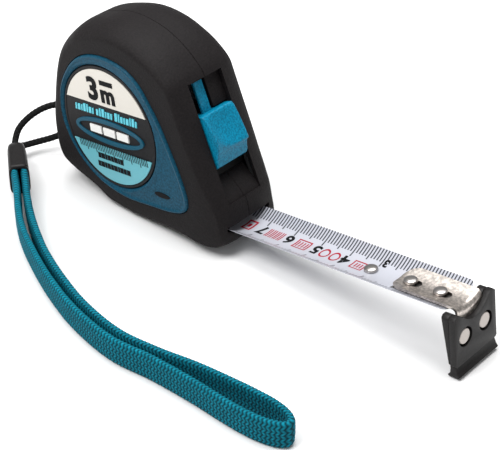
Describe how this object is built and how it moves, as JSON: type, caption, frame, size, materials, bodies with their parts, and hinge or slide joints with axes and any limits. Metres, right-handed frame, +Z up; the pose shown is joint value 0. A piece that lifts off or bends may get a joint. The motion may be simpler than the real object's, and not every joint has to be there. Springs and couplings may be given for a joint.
{
  "type": "tape measure",
  "caption": "Pocket tape measure with a rubber-gripped teardrop case, a thumb lock, a printed steel blade with a magnetic end hook, and a woven wrist strap.",
  "frame": {"origin": "bottom centre of the box round the case, blade and hook, without the strap; the case stands on its heel and the hook on its foot at z = 0", "axes": "+X from the case towards the hook, with the blade rising 8.1 degrees that way; +Y across the case, away from the side with the lettering; +Z up"},
  "size_m": [0.1648, 0.0764, 0.0594],
  "materials": {
    "soft_grip": "moulded soft rubber, fine matt grain",
    "hard_shell": "moulded, matt",
    "blue_panel": "moulded, satin",
    "label_plate": "printed, satin",
    "lock_blue": "moulded, satin",
    "reel_plastic": "moulded, matt",
    "blade_lacquer": "printed and lacquered spring steel",
    "spring_steel": "blued strip",
    "nickel_plate": "nickel plated, satin",
    "holder_plastic": "moulded, satin",
    "teal_webbing": "woven herringbone",
    "black_cord": "braided"
  },
  "bodies": {
    "case": {"grip_left": "soft_grip", "grip_right": "soft_grip", "shell_left": "hard_shell", "shell_right": "hard_shell", "panel_left": "blue_panel", "panel_right": "blue_panel", "label_disc_left": "label_plate", "label_disc_right": "label_plate", "case_screw_rear_top": "nickel_plate", "case_screw_front_top": "nickel_plate", "case_screw_rear_bottom": "nickel_plate", "case_screw_front_bottom": "nickel_plate", "reel_arbor": "reel_plastic", "strap_cord": "black_cord", "strap_ferrule": "holder_plastic", "strap_webbing": "teal_webbing"},
    "reel": {"reel_drum": "reel_plastic", "blade_coil": "blade_lacquer", "power_spring": "spring_steel"},
    "tape_end": {"blade_run": "blade_lacquer", "hook_rivet_rear": "nickel_plate", "hook_rivet_front": "nickel_plate", "stop_rivet": "nickel_plate"},
    "hook": {"end_hook": "nickel_plate", "magnet_holder": "holder_plastic", "magnet_left": "nickel_plate", "magnet_right": "nickel_plate"},
    "lock": {"lock_button": "lock_blue", "brake_pad": "soft_grip"}
  },
  "joints": [
    {"name": "tape_pull", "type": "slide", "parent": "case", "child": "tape_end", "axis": [0.9899, 0, 0.1415], "range_m": [-0.0708, 2.9], "deforming": ["blade_run"]},
    {"name": "hook_slip", "type": "slide", "parent": "tape_end", "child": "hook", "axis": [0.9899, 0, 0.1415], "range_m": [-0.001, 0]},
    {"name": "reel_spin", "type": "hinge", "parent": "case", "child": "reel", "pos_m": [-0.04578, 0, 0.02487], "axis": [0, -1, 0], "range_deg": [-210, 8450]},
    {"name": "lock_slide", "type": "slide", "parent": "case", "child": "lock", "axis": [0.4115, 0, -0.9114], "range_m": [0, 0.005]}
  ],
  "couplings": [
    {"joint": "reel_spin", "follows": "tape_pull", "rad_per_m": 50.761}
  ]
}
